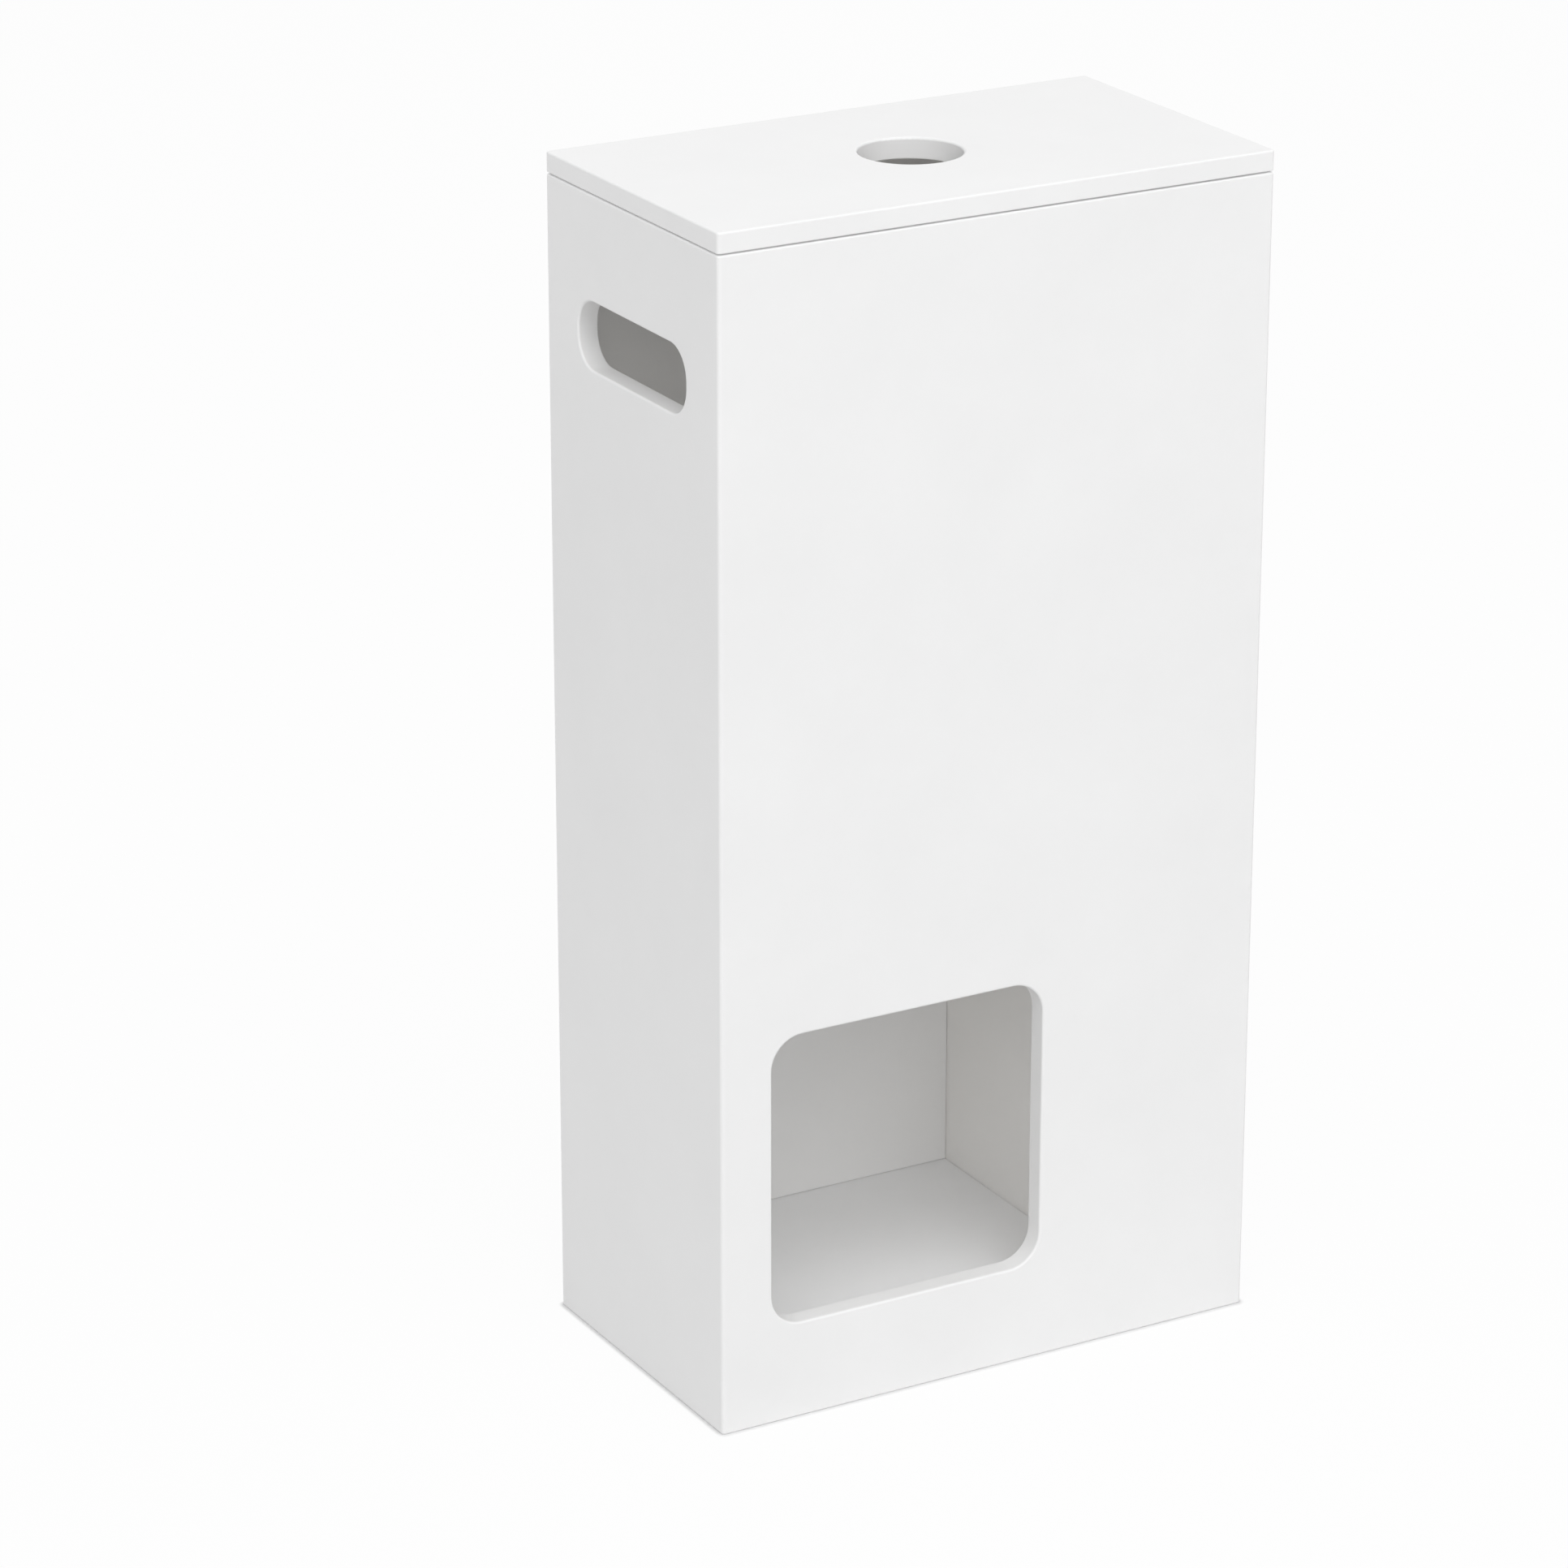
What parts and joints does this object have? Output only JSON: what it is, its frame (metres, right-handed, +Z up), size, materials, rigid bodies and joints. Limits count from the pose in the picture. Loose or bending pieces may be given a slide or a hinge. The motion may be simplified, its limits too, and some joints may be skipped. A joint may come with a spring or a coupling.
{
  "type": "toilet roll storage stand",
  "caption": "Tall free-standing white box for spare toilet rolls, with a lift-off lid with a finger hole, hand holes in both sides and a roll window low in the front.",
  "frame": {"origin": "middle of the footprint, on the ground that the stand rests on", "axes": "+Z up, +Y from the front panel to the back panel, +X to the right when facing the front"},
  "size_m": [0.25, 0.14, 0.5],
  "materials": {
    "outer_lacquer": "white satin lacquer on fibreboard, smooth and filled, edges slightly rounded",
    "inner_lacquer": "white satin lacquer on fibreboard, one thinner coat",
    "beech": "plain beech dowel rod",
    "zinc_steel": "bright zinc-plated steel"
  },
  "bodies": {
    "carcass": {"front_panel": "outer_lacquer", "back_panel": "outer_lacquer", "left_side_panel": "outer_lacquer", "right_side_panel": "outer_lacquer", "floor_panel": "inner_lacquer", "guide_partition": "inner_lacquer", "front_left_dowels": "beech", "front_right_dowels": "beech", "back_left_dowels": "beech", "back_right_dowels": "beech"},
    "lid": {"lid_panel": "outer_lacquer", "left_lid_batten": "inner_lacquer", "right_lid_batten": "inner_lacquer", "left_batten_screws": "zinc_steel", "right_batten_screws": "zinc_steel"}
  },
  "joints": [
    {"name": "lid_lift", "type": "slide", "parent": "carcass", "child": "lid", "axis": [0, 0, 1], "range_m": [0, 0.16]}
  ]
}
